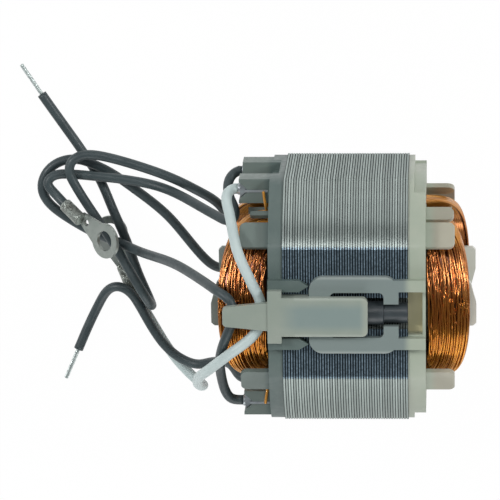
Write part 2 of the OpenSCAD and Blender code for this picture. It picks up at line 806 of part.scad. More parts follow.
module dark_lead_eye() lead_eye(dark_route, dark_eye_tilt, dark_eye_spin, lead_d);

lamination_stack();
lead_end_insulator();
plain_end_insulator();
front_coil();
rear_coil();
slot_liner(0, 0);  // slot_liner_1
slot_liner(1, 0);  // slot_liner_2
slot_liner(0, 180);  // slot_liner_3
slot_liner(1, 180);  // slot_liner_4
terminal_at(1);  // terminal_1
terminal_at(2);  // terminal_2
terminal_at(3);  // terminal_3
terminal_at(4);  // terminal_4
magnet_wire_end(1);  // magnet_wire_end_1
magnet_wire_end(2);  // magnet_wire_end_2
magnet_wire_end(3);  // magnet_wire_end_3
magnet_wire_end(4);  // magnet_wire_end_4
lead_holder();
black_sleeve();
white_brush_lead();
white_lead_eye();
dark_lead(dark_route);  // dark_brush_lead
dark_lead_eye();
dark_lead(long_route);  // long_switch_lead
bare_tip(long_route, long_tip_l);  // long_lead_tip
dark_lead(short_route);  // short_switch_lead
bare_tip(short_route, short_tip_l);  // short_lead_tip
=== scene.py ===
# %% [markdown]
# # A wound motor stator, lying on a white table
# The CAD frame holds the steel stack, the moulded end rings, the clip and a solid for each coil and lead.
# This file dresses that frame: smooth leads, coils wound wire by wire, softened mouldings and finishes.
# Lengths of the part are in millimetres, as on a drawing, and MM turns them into metres.

# %% Load the frame
import math

import bmesh
import bpy
import numpy as np
from mathutils import Matrix, Vector


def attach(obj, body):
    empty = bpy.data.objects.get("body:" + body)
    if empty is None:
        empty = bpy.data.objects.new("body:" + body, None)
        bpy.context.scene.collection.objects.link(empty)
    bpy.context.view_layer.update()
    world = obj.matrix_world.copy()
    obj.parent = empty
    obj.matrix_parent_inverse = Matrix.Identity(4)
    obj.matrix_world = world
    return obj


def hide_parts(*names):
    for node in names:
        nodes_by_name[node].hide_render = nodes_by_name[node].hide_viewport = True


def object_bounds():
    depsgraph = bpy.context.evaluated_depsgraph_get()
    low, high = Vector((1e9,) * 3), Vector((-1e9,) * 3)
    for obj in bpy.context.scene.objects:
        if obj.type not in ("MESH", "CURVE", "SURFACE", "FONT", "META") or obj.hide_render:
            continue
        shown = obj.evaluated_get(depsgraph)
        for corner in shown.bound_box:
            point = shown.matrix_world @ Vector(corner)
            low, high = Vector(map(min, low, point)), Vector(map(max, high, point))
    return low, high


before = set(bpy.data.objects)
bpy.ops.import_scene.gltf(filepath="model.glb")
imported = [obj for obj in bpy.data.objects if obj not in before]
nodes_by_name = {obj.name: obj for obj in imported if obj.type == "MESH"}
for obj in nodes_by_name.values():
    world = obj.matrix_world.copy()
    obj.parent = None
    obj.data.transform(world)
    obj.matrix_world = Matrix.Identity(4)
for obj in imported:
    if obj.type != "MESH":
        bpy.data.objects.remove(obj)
cad_box = [list(corner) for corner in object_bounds()]
MM = 0.001
scene = bpy.context.scene
scene.view_settings.view_transform = "Standard"
print("frame nodes:", len(nodes_by_name))

# %% [markdown]
# ## Camera
# The photograph looks down on the table, tilted a little from the vertical, through a long lens.
# A long lens keeps the two ends of the stator nearly the same size, so the camera stands over a metre away.

# %% Camera
VIEW_TILT, VIEW_YAW = math.radians(12.8), math.radians(2.7)
VIEW_DISTANCE = 1100 * MM
VIEW_TARGET = Vector((-24.96, 8.92, -0.88)) * MM
SENSOR_MM, LENS_MM, FAR_CLIP = 36, 310.5, 20

camera_data = bpy.data.cameras.new("photo_camera")
camera_data.sensor_width = SENSOR_MM
camera_data.lens = LENS_MM
camera_data.clip_end = FAR_CLIP
camera = bpy.data.objects.new("photo_camera", camera_data)
scene.collection.objects.link(camera)
level = math.cos(VIEW_YAW)
view_back = Vector((math.sin(VIEW_YAW), level * math.sin(VIEW_TILT), level * math.cos(VIEW_TILT)))
view_right = (Vector((1, 0, 0)) - view_back.x * view_back).normalized()
turn = Matrix((view_right, view_back.cross(view_right), view_back)).transposed()
camera.matrix_world = Matrix.Translation(VIEW_TARGET + view_back * VIEW_DISTANCE) @ turn.to_4x4()
scene.camera = camera
print("camera at", [round(v, 3) for v in camera.matrix_world.translation])

# %% [markdown]
# ## Meshes from grids
# A tube or a coil wire is a grid of points: one index runs along the piece, the other around its profile.
# `grid_faces` works out the quads as one index array, and `mesh_object` makes the mesh of both in one go.

# %% Grid helpers


def grid_faces(rings, sides, closed):
    """Quads between neighbouring rings of a grid; closed joins the last ring to the first."""
    last = rings if closed else rings - 1
    i, k = np.meshgrid(np.arange(last), np.arange(sides), indexing="ij")
    j, m = (i + 1) % rings, (k + 1) % sides
    return np.stack([i * sides + k, i * sides + m, j * sides + m, j * sides + k], axis=-1).reshape(-1, 4)


def mesh_object(name, points, faces, extra=()):
    """Object at the origin from points in metres, a quad array and optional caps, riding on the part."""
    mesh = bpy.data.meshes.new(name)
    mesh.from_pydata(points.reshape(-1, 3).tolist(), [], faces.tolist() + [list(f) for f in extra])
    mesh.polygons.foreach_set("use_smooth", np.ones(len(mesh.polygons), dtype=bool))
    mesh.update()
    piece = bpy.data.objects.new(name, mesh)
    scene.collection.objects.link(piece)
    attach(piece, "root")
    return piece


def side_frames(path):
    """Unit tangents and two side directions along a path: the first side is the tangent crossed with a fixed
    direction, the second the tangent crossed with the first."""
    tangents = np.gradient(path, axis=0)
    tangents /= np.linalg.norm(tangents, axis=1, keepdims=True)
    tries = np.array([[0.3, 0.2, 1], [1, 0.1, 0.2], [0.2, 1, 0.1], [0.7, -0.7, 0.2], [0.5, 0.6, -0.6]])
    tries /= np.linalg.norm(tries, axis=1, keepdims=True)
    worst = np.abs(tangents @ tries.T).max(axis=0)
    first = np.cross(tangents, tries[np.argmin(worst)])
    first /= np.linalg.norm(first, axis=1, keepdims=True)
    return tangents, first, np.cross(tangents, first)


def tube_points(path, radius, sides):
    """Rings of a round tube: centre plus radius times the cosine and sine mix of the two side directions."""
    _, first, second = side_frames(path)
    angle = np.arange(sides) * 2 * np.pi / sides
    ring = np.cos(angle)[None, :, None] * first[:, None] + np.sin(angle)[None, :, None] * second[:, None]
    return path[:, None] + np.reshape(radius, (-1, 1, 1)) * ring


def tube_object(name, path, radius, sides):
    """Closed round tube along a path, with flat ends."""
    points = tube_points(path, radius, sides)
    last = (len(path) - 1) * sides
    caps = [range(sides - 1, -1, -1), range(last, last + sides)]
    return mesh_object(name, points, grid_faces(len(path), sides, False), caps)


# %% [markdown]
# ## Leads
# Four stranded leads leave the terminals. They keep the bends they were given, so they are stiff.
# The route points are those of the solids. A spline that passes through every point makes the line smooth.
# A curve with a bevel would draw the same tube. A grid of rings keeps even steps and is a plain mesh.

# %% Lead routes
SPAN_SAMPLES = 40


def run_along(path):
    """Distance along a path from its start to each of its points."""
    return np.concatenate([[0], np.cumsum(np.linalg.norm(np.diff(path, axis=0), axis=1))])


def smooth_path(points, step, ease=0):
    """Centripetal spline through all points, resampled at even steps; ease counts the smoothing passes."""
    p = np.asarray(points, dtype=float)
    p = np.vstack([2 * p[0] - p[1], p, 2 * p[-1] - p[-2]])
    knots = np.concatenate([[0], np.cumsum(np.sqrt(np.linalg.norm(np.diff(p, axis=0), axis=1)))])
    u = np.linspace(0, 1, SPAN_SAMPLES, endpoint=False)[None, :]
    t0, t1, t2, t3 = (knots[i:len(knots) - 3 + i, None] for i in range(4))
    t = t1 + (t2 - t1) * u
    p0, p1, p2, p3 = (p[i:len(p) - 3 + i, None] for i in range(4))

    def between(a, b, ta, tb):
        w = ((t - ta) / (tb - ta))[..., None]
        return a * (1 - w) + b * w

    a1, a2, a3 = between(p0, p1, t0, t1), between(p1, p2, t1, t2), between(p2, p3, t2, t3)
    b1, b2 = between(a1, a2, t0, t2), between(a2, a3, t1, t3)
    fine = np.vstack([between(b1, b2, t1, t2).reshape(-1, 3), p[-2]])
    run = run_along(fine)
    even = np.linspace(0, run[-1], max(2, int(round(run[-1] / step)) + 1))
    path = np.stack([np.interp(even, run, fine[:, axis]) for axis in range(3)], axis=1)
    for _ in range(ease):
        path[2:-2] = (path[1:-3] + 2 * path[2:-2] + path[3:-1]) / 4
    return path


def eye_dir(tilt, spin):
    """Direction of a ring terminal that is spun in its own plane and then tilted about Y."""
    tilt, spin = math.radians(tilt), math.radians(spin)
    return np.array([math.cos(tilt) * math.cos(spin), math.sin(spin), -math.sin(tilt) * math.cos(spin)])


LEAD_D, WHITE_LEAD_D, BARE_D = 2.5, 2.65, 1.1
LEAD_STEP, LEAD_EASE, LEAD_SIDES = 0.8, 4, 20
CRIMP_Y, CRIMP_Z = 27.425, 10.975
LONG_POCKET_X, SHORT_POCKET_X = -27.2, -26.4
EXIT_L, ENTRY_L = 1.5, 2.0
WHITE_EYE, WHITE_EYE_DIR = np.array([-58.1, -6.9, -31.3]), eye_dir(0, 111)
DARK_EYE, DARK_EYE_DIR = np.array([-73.2, 14.9, -23.8]), eye_dir(-42, -30)


def from_crimp(x, y, z):
    """A lead leaves its crimp straight along the motor axis."""
    return [[x, y, z], [x - EXIT_L, y, z]]


routes = {
    "white_brush_lead": from_crimp(LONG_POCKET_X, CRIMP_Y, CRIMP_Z) + [
        [-29.9, 26.6, 12.6], [-29.9, 25, 15.6], [-29.1, 23.1, 19.2], [-28.3, 20.8, 23.4],
        [-27.4, 18, 28], [-26.5, 15.6, 31], [-25.2, 12.8, 32.6], [-23.7, 9.6, 32.8], [-22.4, 6.6, 32.3],
        [-21.2, 4.2, 31.8], [-20.7, 1, 31.6], [-20.8, -1.8, 31.6], [-21.7, -4.1, 31.7],
        [-23.9, -6.6, 31.7], [-28.7, -10.4, 30.8], [-34.4, -16.1, 24.6], [-37.5, -21, 12.6],
        [-38.7, -25.9, 0], [-38.5, -29.6, -11.5], [-38.7, -32.2, -22.5], [-40.3, -33, -29.2],
        [-44.1, -30.1, -31.8], [-48.4, -24.5, -31.8], [-52.5, -17.5, -31.8], [-55.7, -11.8, -31.6],
        WHITE_EYE - ENTRY_L * WHITE_EYE_DIR, WHITE_EYE],
    "dark_brush_lead": from_crimp(LONG_POCKET_X, CRIMP_Y, -CRIMP_Z) + [
        [-30.7, 25.3, -9], [-30.5, 21.9, -6.5], [-29, 19.4, -4], [-28.7, 17.2, -3], [-30.6, 15.7, -4.5],
        [-34, 16.3, -8.5], [-38.3, 17.4, -14], [-43.6, 18.7, -21], [-48.3, 19.9, -25],
        [-52.9, 20.8, -26.9], [-59.9, 21.9, -27.4], [-66.2, 22.6, -27.4], [-72.6, 23.2, -27.2],
        [-77, 23.1, -26.9], [-79.2, 21.1, -26.6], [-77, 18.3, -26.3], DARK_EYE - ENTRY_L * DARK_EYE_DIR,
        DARK_EYE],
    "long_switch_lead": from_crimp(SHORT_POCKET_X, -CRIMP_Y, CRIMP_Z) + [
        [-29.5, -27.2, 11.4], [-30.9, -24.6, 13], [-31.6, -20.7, 16], [-31.8, -16.8, 19.8],
        [-31.5, -12.9, 24.6], [-30.4, -8.4, 28.9], [-28.8, -4.3, 30.2], [-27.9, -1.3, 30.7],
        [-27.8, 1.2, 30.7], [-28.8, 3.5, 30.4], [-31.6, 5, 28.7], [-35.4, 5.8, 21.6], [-43.6, 6.2, 4],
        [-55.4, 3.6, -23.5], [-60.4, 4.6, -28.4], [-68.8, 8.1, -29], [-79, 15.2, -29.4],
        [-80.7, 19.1, -29.4], [-79.5, 23.1, -29.4], [-76.3, 25.9, -29.4], [-71.5, 26.8, -29.4],
        [-64, 23.9, -29.8], [-56.4, 18.4, -31], [-48.2, 11.4, -31.9], [-35.8, -2.5, -31.9],
        [-32.1, -2.7, -31.9], [-30.2, 1.3, -31.9], [-33.4, 14.4, -26.8], [-40.5, 19.9, -24.5],
        [-51.7, 24.9, -24.4], [-68.3, 28.9, -25], [-72, 27.6, -24.8], [-73.1, 24.7, -24.7],
        [-71.2, 20.3, -24.8], [-61.7, 4.7, -25.7], [-53.7, -8.6, -23.6], [-52.1, -12.2, -27.4],
        [-53, -11.1, -30.8], [-56, -4.3, -31.9], [-58.7, 4.3, -30.7], [-62, 12.4, -30.8],
        [-66.4, 22.4, -31.9], [-80.4, 43.6, -31.9]],
    "short_switch_lead": from_crimp(SHORT_POCKET_X, -CRIMP_Y, -CRIMP_Z) + [
        [-29.2, -26.6, -13.2], [-30.9, -25.4, -17], [-33.3, -25.5, -21], [-36.7, -26.8, -25.4],
        [-40.8, -28.2, -28.4], [-45.1, -26.7, -29.3], [-49.1, -23.2, -29.3], [-52.4, -18.3, -29.3],
        [-55.2, -13.1, -29.2], [-57.5, -9.1, -28.4], [-59.8, -7.3, -28.2], [-62.2, -7.2, -28.8],
        [-64.4, -9, -30], [-66.7, -13.1, -31.3], [-69.5, -18.9, -31.9], [-72.1, -24.9, -31.9]],
}
print("lead points:", {name: len(points) for name, points in routes.items()})

# %% Lead tubes
lead_d = {name: (WHITE_LEAD_D if name.startswith("white") else LEAD_D) * MM for name in routes}
lead_pieces, lead_paths = {}, {}
for name, points in routes.items():
    radius = lead_d[name] / 2
    path = smooth_path(points, LEAD_STEP, LEAD_EASE) * MM
    path = np.clip(path, np.array(cad_box[0]) + radius, np.array(cad_box[1]) - radius)
    piece = tube_object(name + "_sleeving", path, radius, LEAD_SIDES)
    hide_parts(name)
    lead_pieces[name], lead_paths[name] = piece, path
    print(name, "is", round(run_along(path)[-1] / MM, 1), "mm long")

# %% [markdown]
# ## Bare ends
# The two switch leads end bare. The strands were dipped in solder, which fills all but a shallow groove
# between them. A bump could stand for the strands, but their outline shows against the white table. So six
# strands wind around a core of solder: each is a thin tube along a helix, and all seven share one mesh.

# %% Stranded tips
STRANDS, TIP_TURNS, TIP_RINGS, TIP_SIDES = 6, 1.3, 48, 12
SOLDER_SHARE, STAGGER = 0.44, 0.02
TIPS = (("long_switch_lead", "long_lead_tip", 9.4), ("short_switch_lead", "short_lead_tip", 8.6))


def strand_tip(name, end, along, length):
    """Six strands on helices around a straight core that fills most of the grooves between them."""
    along = along / np.linalg.norm(along)
    side = np.cross(along, [0, 0, 1.0])
    side /= np.linalg.norm(side)
    over = np.cross(side, along)
    strand_r = BARE_D / 6 * MM
    u = np.linspace(0, 1, TIP_RINGS)
    points, faces, caps = [], [], []
    for number in range(STRANDS + 1):
        is_core = number == STRANDS
        radius = SOLDER_SHARE * BARE_D * MM if is_core else strand_r
        reach = 0 if is_core else 2 * strand_r
        angle = 2 * np.pi * (TIP_TURNS * u + number / STRANDS)
        centre = end + along * (length * u * (1 - STAGGER * (number % 3)))[:, None]
        path = centre + reach * (np.cos(angle)[:, None] * side + np.sin(angle)[:, None] * over)
        start = number * TIP_RINGS * TIP_SIDES
        last = start + (TIP_RINGS - 1) * TIP_SIDES
        points.append(tube_points(path, radius, TIP_SIDES).reshape(-1, 3))
        faces.append(grid_faces(TIP_RINGS, TIP_SIDES, False) + start)
        caps += [range(start + TIP_SIDES - 1, start - 1, -1), range(last, last + TIP_SIDES)]
    piece = mesh_object(name + "_strands", np.vstack(points), np.vstack(faces), caps)
    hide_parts(name)
    return piece


tip_pieces = {}
for lead, tip, length in TIPS:
    points = np.array(routes[lead][-2:], dtype=float)
    tip_pieces[lead] = strand_tip(tip, points[1] * MM, points[1] - points[0], length * MM)
    print(tip, "has", len(tip_pieces[lead].data.polygons), "faces")

# %% [markdown]
# ## Softened mouldings
# Moulded plastic and punched sheet have no knife edges: every edge has a small radius that catches the light.
# A copy of the solid is merged, its flat faces are joined again, and a narrow bevel rounds what is left.
# New shapes could be drawn, but a copy of the solid keeps every size of the frame.

# %% Softened copies
EDGE_ANGLE, FLAT_ANGLE = math.radians(32), math.radians(0.6)
MERGE_GAP, BEVEL_STEPS = 0.004, 2
SOFTENED = {
    "lead_end_insulator": (0.22, "grey_plastic"),
    "plain_end_insulator": (0.22, "pale_plastic"),
    "lead_holder": (0.3, "clear_plastic"),
    "black_sleeve": (0.25, "sleeve_rubber"),
    "white_lead_eye": (0.16, "tinned_brass"),
    "dark_lead_eye": (0.16, "tinned_brass"),
}


def softened(node, width):
    """Copy of a solid with rounded edges: merged points, joined flat faces, then a bevel of that width."""
    mesh = nodes_by_name[node].data.copy()
    mesh.name = node + "_body"
    shape = bmesh.new()
    shape.from_mesh(mesh)
    bmesh.ops.remove_doubles(shape, verts=shape.verts, dist=MERGE_GAP * MM)
    bmesh.ops.dissolve_limit(shape, angle_limit=FLAT_ANGLE, verts=shape.verts, edges=shape.edges,
                             use_dissolve_boundaries=False)
    shape.to_mesh(mesh)
    shape.free()
    mesh.materials.clear()
    mesh.polygons.foreach_set("use_smooth", np.ones(len(mesh.polygons), dtype=bool))
    mesh.set_sharp_from_angle(angle=EDGE_ANGLE)
    piece = bpy.data.objects.new(node + "_body", mesh)
    scene.collection.objects.link(piece)
    bevel = piece.modifiers.new("edge_radius", "BEVEL")
    bevel.width = width * MM
    bevel.segments = BEVEL_STEPS
    bevel.limit_method = "ANGLE"
    bevel.angle_limit = EDGE_ANGLE
    bevel.harden_normals = True
    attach(piece, "root")
    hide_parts(node)
    return piece


mouldings = {node: softened(node, width) for node, (width, slot) in SOFTENED.items()}
print("softened:", ", ".join(mouldings))

for name, far_end, with_piece in (
    ("white_brush_lead", "connector", mouldings["white_lead_eye"]),
    ("dark_brush_lead", "connector", mouldings["dark_lead_eye"]),
    ("long_switch_lead", "bare", tip_pieces["long_switch_lead"]),
    ("short_switch_lead", "bare", tip_pieces["short_switch_lead"]),
):
    path = lead_paths[name]
print("leads declared:", len(lead_pieces))

# %% [markdown]
# ## Field coils
# A coil is some dozens of turns of enamelled wire, laid by a winding machine. The outer turns lie side by
# side but wander and cross a little. A swept solid with a bump could stand for them, but single wires catch
# the light one by one, so each outer turn is a thin tube that follows the coil's loop at its own place in the
# section. A core fills the inside. Its inner side, which few views reach, has ribs in place of wires. Its
# other sides, seen in the gaps between the wires, are painted near black as shade.

# %% Coil surface
HALF_L, LEAD_RING_T, PLAIN_RING_T = 15.6, 3.5, 4.4
LEAD_TURN_L, PLAIN_TURN_L, COIL_END_GAP = 12.7, 10.9, 0.2
COIL_IN_R, COIL_SLOT_R, END_SWELL, END_LIFT = 21.05, 24.65, 3.4, 0.5
NECK_HALF, NECK_CLEAR, FACE_SLOT = 9.55, 0.5, (78.0, 56.0)
NECK_SLOT = math.degrees(math.asin(NECK_HALF / COIL_IN_R)) + NECK_CLEAR
TURN_END = (NECK_SLOT - 9, 4.0)
SWELL_FROM, SWELL_TO, SWELL_DROP, DROP_POWER = 60.0, 34.0, 0.45, 6
PAST_RING = math.radians(75)
CROSSING, BENDING, STRAIGHT = 0.3, 0.5, 0.2


def smooth_step(s):
    """Three s squared minus two s cubed, held between 0 and 1."""
    c = np.clip(s, 0, 1)
    return c * c * (3 - 2 * c)


def coil_point(u, s, q):
    """Point of the coil in mm: u runs around the loop, s from inner to outer turn, q from inside to outside.

    In each quarter the turn first crosses the end at a fixed distance, then rounds into the slot along a
    quarter wave and ends straight."""
    quarter = (u % 1) * 4
    which = np.floor(quarter).astype(int) % 4
    part = quarter - np.floor(quarter)
    part = np.where(which % 2 == 0, part, 1 - part)
    side = np.where(which < 2, 1.0, -1.0)
    end = np.where((which == 0) | (which == 3), 1.0, -1.0)
    across = np.clip(part / CROSSING, 0, 1)
    bend = np.clip((part - CROSSING) / BENDING, 0, 1) * np.pi / 2
    straight = np.clip((part - CROSSING - BENDING) / STRAIGHT, 0, 1)

    def mix(pair):
        return pair[0] + (pair[1] - pair[0]) * s

    slot = mix((NECK_SLOT, FACE_SLOT[0] + (FACE_SLOT[1] - FACE_SLOT[0]) * q))
    angle = mix(TURN_END) * across + (slot - mix(TURN_END)) * np.sin(bend)
    ring_end = HALF_L + np.where(end > 0, PLAIN_RING_T, LEAD_RING_T)
    turn_l = 2 * COIL_END_GAP + (np.where(end > 0, PLAIN_TURN_L, LEAD_TURN_L) - 2 * COIL_END_GAP) * s
    x = (ring_end + COIL_END_GAP + (turn_l - COIL_END_GAP) * np.cos(bend)) * (1 - straight)
    over_pole = smooth_step((SWELL_FROM - angle) / (SWELL_FROM - SWELL_TO))
    past_ring = smooth_step(np.cos(bend) / math.cos(PAST_RING))
    swell = END_SWELL * over_pole * past_ring * (1 - SWELL_DROP * np.maximum(s, 0) ** DROP_POWER)
    inner = COIL_IN_R + END_LIFT * np.cos(bend)
    r = inner + (COIL_SLOT_R + swell - inner) * q
    angle = np.radians(angle)
    return np.stack([end * x, side * r * np.sin(angle), r * np.cos(angle)], axis=-1)


def wander(rng, count, u, waves):
    """Smooth closed random curves: a few sine waves around the loop, each weaker than the one before."""
    k = np.arange(1, waves + 1)
    phase = rng.uniform(0, 2 * np.pi, (count, waves, 1))
    size = rng.normal(0, 1, (count, waves, 1)) / np.sqrt(k)[None, :, None]
    return (size * np.sin(2 * np.pi * k[None, :, None] * u[None, None, :] + phase)).sum(axis=1)


# %% Wind the coils
WIRE_R, WIRE_SIDES, LOOP_STEPS = 0.25, 6, 230
TOP_WIRES, TOP_S_FROM, TOP_S_SPAN, TOP_Q_PAIR = 40, 0.03, 0.95, (0.955, 0.875)
FACE_WIRES, FACE_Q_FROM, FACE_Q_SPAN, FACE_S = 20, 0.06, 0.84, 0.975
S_WANDER, S_WAVES, S_LIMITS = 0.022, 14, (0.0, 0.985)
Q_WANDER, Q_WAVES, Q_LIMITS = 0.018, 40, (0.03, 0.965)
CALM, WIRE_TONES = 0.4, (0.2, 1)
RIBS, RIB_H, RIB_TONE, RIB_TONE_DROP = 36, 0.07, 0.9, 0.65
CORE_SIDE, CORE_S_SPAN, CORE_Q_SPAN, CORE_FROM = 8, 0.93, 0.86, 0.01


def carry_tone(piece, tones):
    """Stores one tone for each point of a piece, which its finish reads."""
    tone = piece.data.attributes.new("tone", "FLOAT", "POINT")
    tone.data.foreach_set("value", np.asarray(tones, dtype=np.float32))


def wire_places(rng, u):
    """Place of each outer wire in the section, s and q at each step of the loop, rumpled most on one side."""
    top, face = np.arange(TOP_WIRES), np.arange(FACE_WIRES)
    top_s = TOP_S_FROM + TOP_S_SPAN * (top + 0.5) / TOP_WIRES
    top_q = np.where(top % 2 == 0, *TOP_Q_PAIR)
    face_q = FACE_Q_FROM + FACE_Q_SPAN * (face + 0.5) / FACE_WIRES
    s = np.concatenate([top_s, np.full(FACE_WIRES, FACE_S)])[:, None]
    q = np.concatenate([top_q, face_q])[:, None]
    rumple = CALM + (1 - CALM) * smooth_step(0.5 + np.cos(2 * np.pi * (u - 0.25)))
    s = np.clip(s + S_WANDER * rumple * wander(rng, len(s), u, S_WAVES), *S_LIMITS)
    q = np.clip(q + Q_WANDER * rumple * wander(rng, len(q), u, Q_WAVES), *Q_LIMITS)
    return s, q


def core_section():
    """Outline of the core: s, q and tone of its points, ribbed on the inner side; the other sides get tone
    naught, which the finish paints near black as shade between the wires.
    """
    edge, rib = np.linspace(0, 1, CORE_SIDE, endpoint=False), np.arange(RIBS)
    full = np.ones(CORE_SIDE)
    s = np.concatenate([rib / RIBS, full, 1 - edge, 0 * full]) * CORE_S_SPAN + CORE_FROM
    q = np.concatenate([RIB_H * (rib % 2), edge, full, 1 - edge]) * CORE_Q_SPAN + CORE_FROM
    # Ribs get their own tones; the other sides get tone naught, painted shade between the wires.
    tones = np.concatenate([RIB_TONE - RIB_TONE_DROP * (rib % 2), np.zeros(3 * CORE_SIDE)])
    return s, q, tones


def wound_coil(name, node, flip, seed):
    """Coil of single wires over a core; flip turns it half round the motor axis."""
    rng = np.random.default_rng(seed)
    u = (np.arange(LOOP_STEPS) + 0.5) / LOOP_STEPS
    s, q = wire_places(rng, u)
    paths = coil_point(np.broadcast_to(u, s.shape), s, q)
    points, faces, tones = [], [], []
    for number, path in enumerate(paths):
        closed = np.vstack([path[-1], path, path[0]])
        points.append(tube_points(closed, WIRE_R, WIRE_SIDES)[1:-1].reshape(-1, 3))
        faces.append(grid_faces(LOOP_STEPS, WIRE_SIDES, True) + number * LOOP_STEPS * WIRE_SIDES)
        tones.append(np.full(len(points[-1]), rng.uniform(*WIRE_TONES)))
    core_s, core_q, core_tones_and_shade = core_section()
    core = coil_point(*np.broadcast_arrays(u[:, None], core_s, core_q))
    points.append(core.reshape(-1, 3))
    faces.append(grid_faces(LOOP_STEPS, len(core_s), True) + len(paths) * LOOP_STEPS * WIRE_SIDES)
    tones.append(np.tile(core_tones_and_shade, LOOP_STEPS))
    points = np.vstack(points) * MM
    if flip:
        points = points * np.array([1, -1, -1])
    piece = mesh_object(name, points, np.vstack(faces))
    carry_tone(piece, np.concatenate(tones))
    shape = bmesh.new()
    shape.from_mesh(piece.data)
    bmesh.ops.recalc_face_normals(shape, faces=shape.faces)
    shape.to_mesh(piece.data)
    shape.free()
    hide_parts(node)
    return piece


coils = [
    wound_coil("front_coil_wires", "front_coil", False, 11),
    wound_coil("rear_coil_wires", "rear_coil", True, 23),
]
print("coil faces:", [len(coil.data.polygons) for coil in coils])

# %% [markdown]
# ## Wire ends at the terminals
# Each end of a coil runs over the front of its pocket to the blade. It is a single magnet wire in open air,
# so a plain tube through the points of its solid is enough.

# %% Magnet wire ends
POCKETS = (1, 2, 3, 4)
POCKET_FRONT, SLIT_MID, POCKET_IN, WIRE_D = 14.0, CRIMP_Y, 24.35, 0.7
END_STEP, END_SIDES, END_TONE, FOOT_Q = 0.25, 12, 0.85, 0.8


def magnet_wire_end(number):
    """Short wire through the four points of the solid, mirrored to its own pocket."""
    front, reach = POCKET_FRONT + WIRE_D / 2, LEAD_RING_T + 1
    foot_r = COIL_IN_R + (COIL_SLOT_R - COIL_IN_R) * FOOT_Q
    foot_a = math.radians(FACE_SLOT[0] + (FACE_SLOT[1] - FACE_SLOT[0]) * FOOT_Q)
    points = np.array([
        [SLIT_MID, front + 0.02, reach + 0.6], [SLIT_MID - 1.6, front + 0.3, reach + 0.4],
        [POCKET_IN - 0.3, front + 0.2, reach + 0.1],
        [foot_r * math.sin(foot_a) + WIRE_D / 2 + 0.1, foot_r * math.cos(foot_a), reach - 0.2]])
    across = points[:, 0] * (1 if number % 2 == 1 else -1)
    up = points[:, 1] * (1 if number < 3 else -1)
    path = smooth_path(np.stack([-HALF_L - points[:, 2], across, up], axis=1), END_STEP) * MM
    piece = tube_object(f"magnet_wire_{number}", path, WIRE_D / 2 * MM, END_SIDES)
    carry_tone(piece, np.full(len(piece.data.vertices), END_TONE))
    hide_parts(f"magnet_wire_end_{number}")
    return piece


wire_ends = [magnet_wire_end(number) for number in POCKETS]
print("wire ends:", len(wire_ends))

# %% [markdown]
# ## Finishes
# Every finish is built from nodes on Object coordinates, so it stays with its piece. One effect is shared as
# a node group: a mottle, slow or fine, that varies a colour or a roughness or gives the height of a bump.

# %% Shared effect


def shared_group(name, inputs, outputs):
    """Empty node group with named float or vector sockets."""
    group = bpy.data.node_groups.new(name, "ShaderNodeTree")
    for socket, kind, value in inputs:
        made = group.interface.new_socket(socket, in_out="INPUT", socket_type=kind)
        if value is not None:
            made.default_value = value
    for socket, kind in outputs:
        group.interface.new_socket(socket, in_out="OUTPUT", socket_type=kind)
    start, end = group.nodes.new("NodeGroupInput"), group.nodes.new("NodeGroupOutput")
    return group, start, end


def mottle_group():
    """Noise remapped to a range: low where the noise is weak, high where it is strong."""
    group, start, end = shared_group(
        "mottle",
        [("Vector", "NodeSocketVector", None), ("Scale", "NodeSocketFloat", 200.0),
         ("Low", "NodeSocketFloat", 0.0), ("High", "NodeSocketFloat", 1.0)],
        [("Value", "NodeSocketFloat")])
    noise = group.nodes.new("ShaderNodeTexNoise")
    noise.inputs["Detail"].default_value = 4
    noise.inputs["Roughness"].default_value = 0.55
    spread = group.nodes.new("ShaderNodeMapRange")
    spread.inputs["From Min"].default_value = 0.32
    spread.inputs["From Max"].default_value = 0.68
    link = group.links.new
    link(start.outputs["Vector"], noise.inputs["Vector"])
    link(start.outputs["Scale"], noise.inputs["Scale"])
    link(noise.outputs["Fac"], spread.inputs["Value"])
    link(start.outputs["Low"], spread.inputs["To Min"])
    link(start.outputs["High"], spread.inputs["To Max"])
    link(spread.outputs["Result"], end.inputs["Value"])
    return group


MOTTLE = mottle_group()
print("shared effect:", MOTTLE.name)

# %% Material helper


